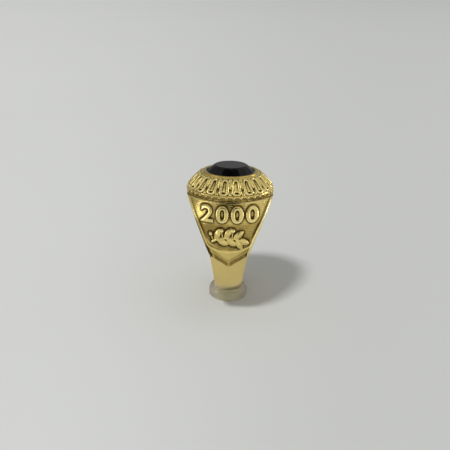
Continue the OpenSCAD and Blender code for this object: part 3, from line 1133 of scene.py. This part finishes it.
# %% [markdown]
# ## Onyx and clear plastic
#
# Onyx is almost black and takes a glassy polish, so nearly all of its look is the reflection of the room.
# The foot is clouded plastic: part of the light goes straight through, and part is scattered and comes out
# softened. Its middle is painted yellower and lighter, as a painted reflection of the gold that stands on it
# and of the light that comes through it.

# %% Onyx and plastic
onyx_colours = (0.001, 0.001, 0.001, 1), (0.003, 0.003, 0.003, 1)
# Painted reflection of the gold and of light through the foot, in its middle
painted_gold_reflection = (0.97, 0.88, 0.58, 1)
plastic_sides = (0.67, 0.60, 0.47, 1), (0.75, 0.68, 0.55, 1)
# Distances from the foot's middle between which the painted reflection gives way to the plain plastic, in
# metres
painted_reflection_reach = (0.0012, 0.0036)


def onyx():
    material, shader, spot = new_material("black_onyx", IOR=1.48, Specular_IOR_Level=0.25)
    cloud = spot.noise(500.0, 2.0)
    feed(shader, blend(cloud.between(0.4, 0.8), *onyx_colours), "Base Color")
    feed(shader, 0.05 + cloud * 0.04, "Roughness")
    return material


def clear_plastic():
    material, shader, spot = new_material("clear_soft_plastic", IOR=1.45, Transmission_Weight=0.8,
                                          Subsurface_Weight=1.0, Subsurface_Scale=0.003,
                                          Subsurface_Radius=(1.0, 0.8, 0.5))
    cloud = spot.noise(600.0, 3.0)
    # Painted reflection in the middle, fading to the plain clouded plastic at the sides
    side = abs(spot.part(0)).between(*painted_reflection_reach)
    feed(shader, blend(side, painted_gold_reflection, blend(cloud, *plastic_sides)), "Base Color")
    feed(shader, 0.3 + cloud * 0.15, "Roughness")
    feed(shader, spot.node("ShaderNodeBump", Strength=0.2, Distance=0.0001, Height=cloud), "Normal")
    return material


stone.data.materials.append(onyx())
foot.data.materials.append(clear_plastic())
print("stone and foot have", stone.active_material.name, "and", foot.active_material.name)

# %% [markdown]
# ## Riding on the frame
#
# Every piece is tied to the body it belongs to, and the frame's own nodes for the ring, the stone and the
# foot are hidden.

# %% Tie the pieces to the frame
for piece in (*gold_pieces, stone, foot):
    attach(piece, "root")
for piece in gold_pieces:
    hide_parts("ring")
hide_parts("stone")
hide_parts("foot")
print(len(gold_pieces) + 2, "pieces ride on the root body")

# %% [markdown]
# ## Floor
#
# The ring stands on a pale cloth without a horizon, so one wide plane is enough. The cloth is painted a
# little darker to the right, as a painted falloff of the light. That could be left to the lamps, but then the
# gold would change with it, so the falloff is painted in the cloth's colour: X over the distance from a point
# in front of the ring gives a fan of equal tones.

# %% Floor
floor_w = 8
left_cloth = (0.60, 0.605, 0.59, 1), (0.63, 0.635, 0.62, 1)
# The cloth's colour where the painted falloff of the light is full, to the right
painted_falloff_cloth = (0.53, 0.535, 0.52, 1)
# The fan of tones: how far in front of the ring it starts, its shortest distance, and the slopes at its ends
fan_start, fan_shortest, fan_slopes = 0.13, 0.08, (-0.35, 0.25)


def make_floor():
    bpy.ops.mesh.primitive_plane_add(size=floor_w)
    floor = bpy.context.object
    floor.name = "floor"
    material, shader, spot = new_material("pale_table", Roughness=0.75)
    away = (spot.part(1) + fan_start).at_least(fan_shortest)
    # Painted falloff of the light, darker to the right
    painted_falloff = (spot.part(0) / away).between(*fan_slopes)
    feed(shader, blend(painted_falloff, blend(spot.noise(9.0, 2.0), *left_cloth), painted_falloff_cloth), "Base Color")
    floor.data.materials.append(material)
    return floor


print(make_floor().name, floor_w, "m wide")

# %% [markdown]
# ## Lights
#
# The light comes softly from the upper left, and the shadow falls to the right and back. One lamp could do
# it all, but gold shows its lamps as hot spots. So the work is shared: the key light brightens and casts
# the shadow but is left out of reflections, and two dim softboxes are there for reflections only, as bright
# lines along the edges. The rest is a room without walls: a pale world, a little brighter to the right and
# to the front, with one dark patch overhead, which is what the stone's table mirrors.

# %% Lights
# Each lamp: name, place and size in metres, power in watts
key_row = ("key", (-3.0, -3.9, 8.1), 1.55, 560)
softbox_rows = [
    ("left_softbox", (-2.4, -1.1, 1.75), 1.4, 8.5),
    ("right_softbox", (2.9, 0.3, 0.7), 1.2, 16),
]


def area_light(name, spot, size, power):
    """A square soft light aimed at the ring."""
    lamp = bpy.data.lights.new(name, "AREA")
    lamp.size = size
    lamp.energy = power
    light = bpy.data.objects.new(name, lamp)
    light.location = spot
    aim = -light.location.copy()
    aim.z += axis_z * MM
    light.rotation_euler = aim.to_track_quat("-Z", "Y").to_euler()
    bpy.context.scene.collection.objects.link(light)
    return light


area_light(*key_row).visible_glossy = False
for row in softbox_rows:
    area_light(*row).visible_diffuse = False
print("lights:", key_row[0], [row[0] for row in softbox_rows])

# %% World
room_strength, room_level, room_back, room_right = 1.05, 0.56, 0.19, 0.16
# The dark patch overhead leans to the front: how far its middle lies up and forward, and its edge as cosines
overhead_up, overhead_front, overhead_edge = 0.94, 0.34, (0.90, 0.985)
room_dark, room_pale = (0.02, 0.02, 0.02, 1), (0.97, 0.98, 0.97, 1)

world = bpy.data.worlds.new("room")
bpy.context.scene.world = world
world.use_nodes = True
background = world.node_tree.nodes["Background"]
background.inputs["Strength"].default_value = room_strength
way = Wire(world.node_tree, world.node_tree.nodes.new("ShaderNodeTexCoord").outputs["Generated"])
right, back, upward = [way.part(axis) for axis in range(3)]
walls = room_level - back * room_back + right * room_right
overhead = (upward * overhead_up - back * overhead_front).between(*overhead_edge)
feed(background, blend(walls * (1 - overhead), room_dark, room_pale), "Color")
bpy.context.scene.view_settings.view_transform = "Standard"
print("world:", world.name)

# %% [markdown]
# ## Camera
#
# The camera looks down at the middle of the ring from in front of the shoulder panel. Its height over the
# horizon sets how round the stone's table looks, and its distance sets how fast the ring narrows downwards.

# %% Camera
camera_elevation, camera_distance, camera_roll = math.radians(23), 0.125, math.radians(1.3)
camera_lens, camera_shift, camera_aim_z = 48.56, (-0.0096, 0.0089), 0.01475

camera_data = bpy.data.cameras.new("camera")
camera_data.lens = camera_lens
camera_data.clip_start = 0.01
camera_data.shift_x, camera_data.shift_y = camera_shift
camera = bpy.data.objects.new("camera", camera_data)
bpy.context.scene.collection.objects.link(camera)
bpy.context.scene.camera = camera
camera.location = (0, -camera_distance * math.cos(camera_elevation),
                   camera_aim_z + camera_distance * math.sin(camera_elevation))
tilt = Matrix.Rotation(math.pi / 2 - camera_elevation, 3, "X")
camera.rotation_euler = (tilt @ Matrix.Rotation(camera_roll, 3, "Z")).to_euler()
print("camera", round(camera_distance, 3), "m from the ring")
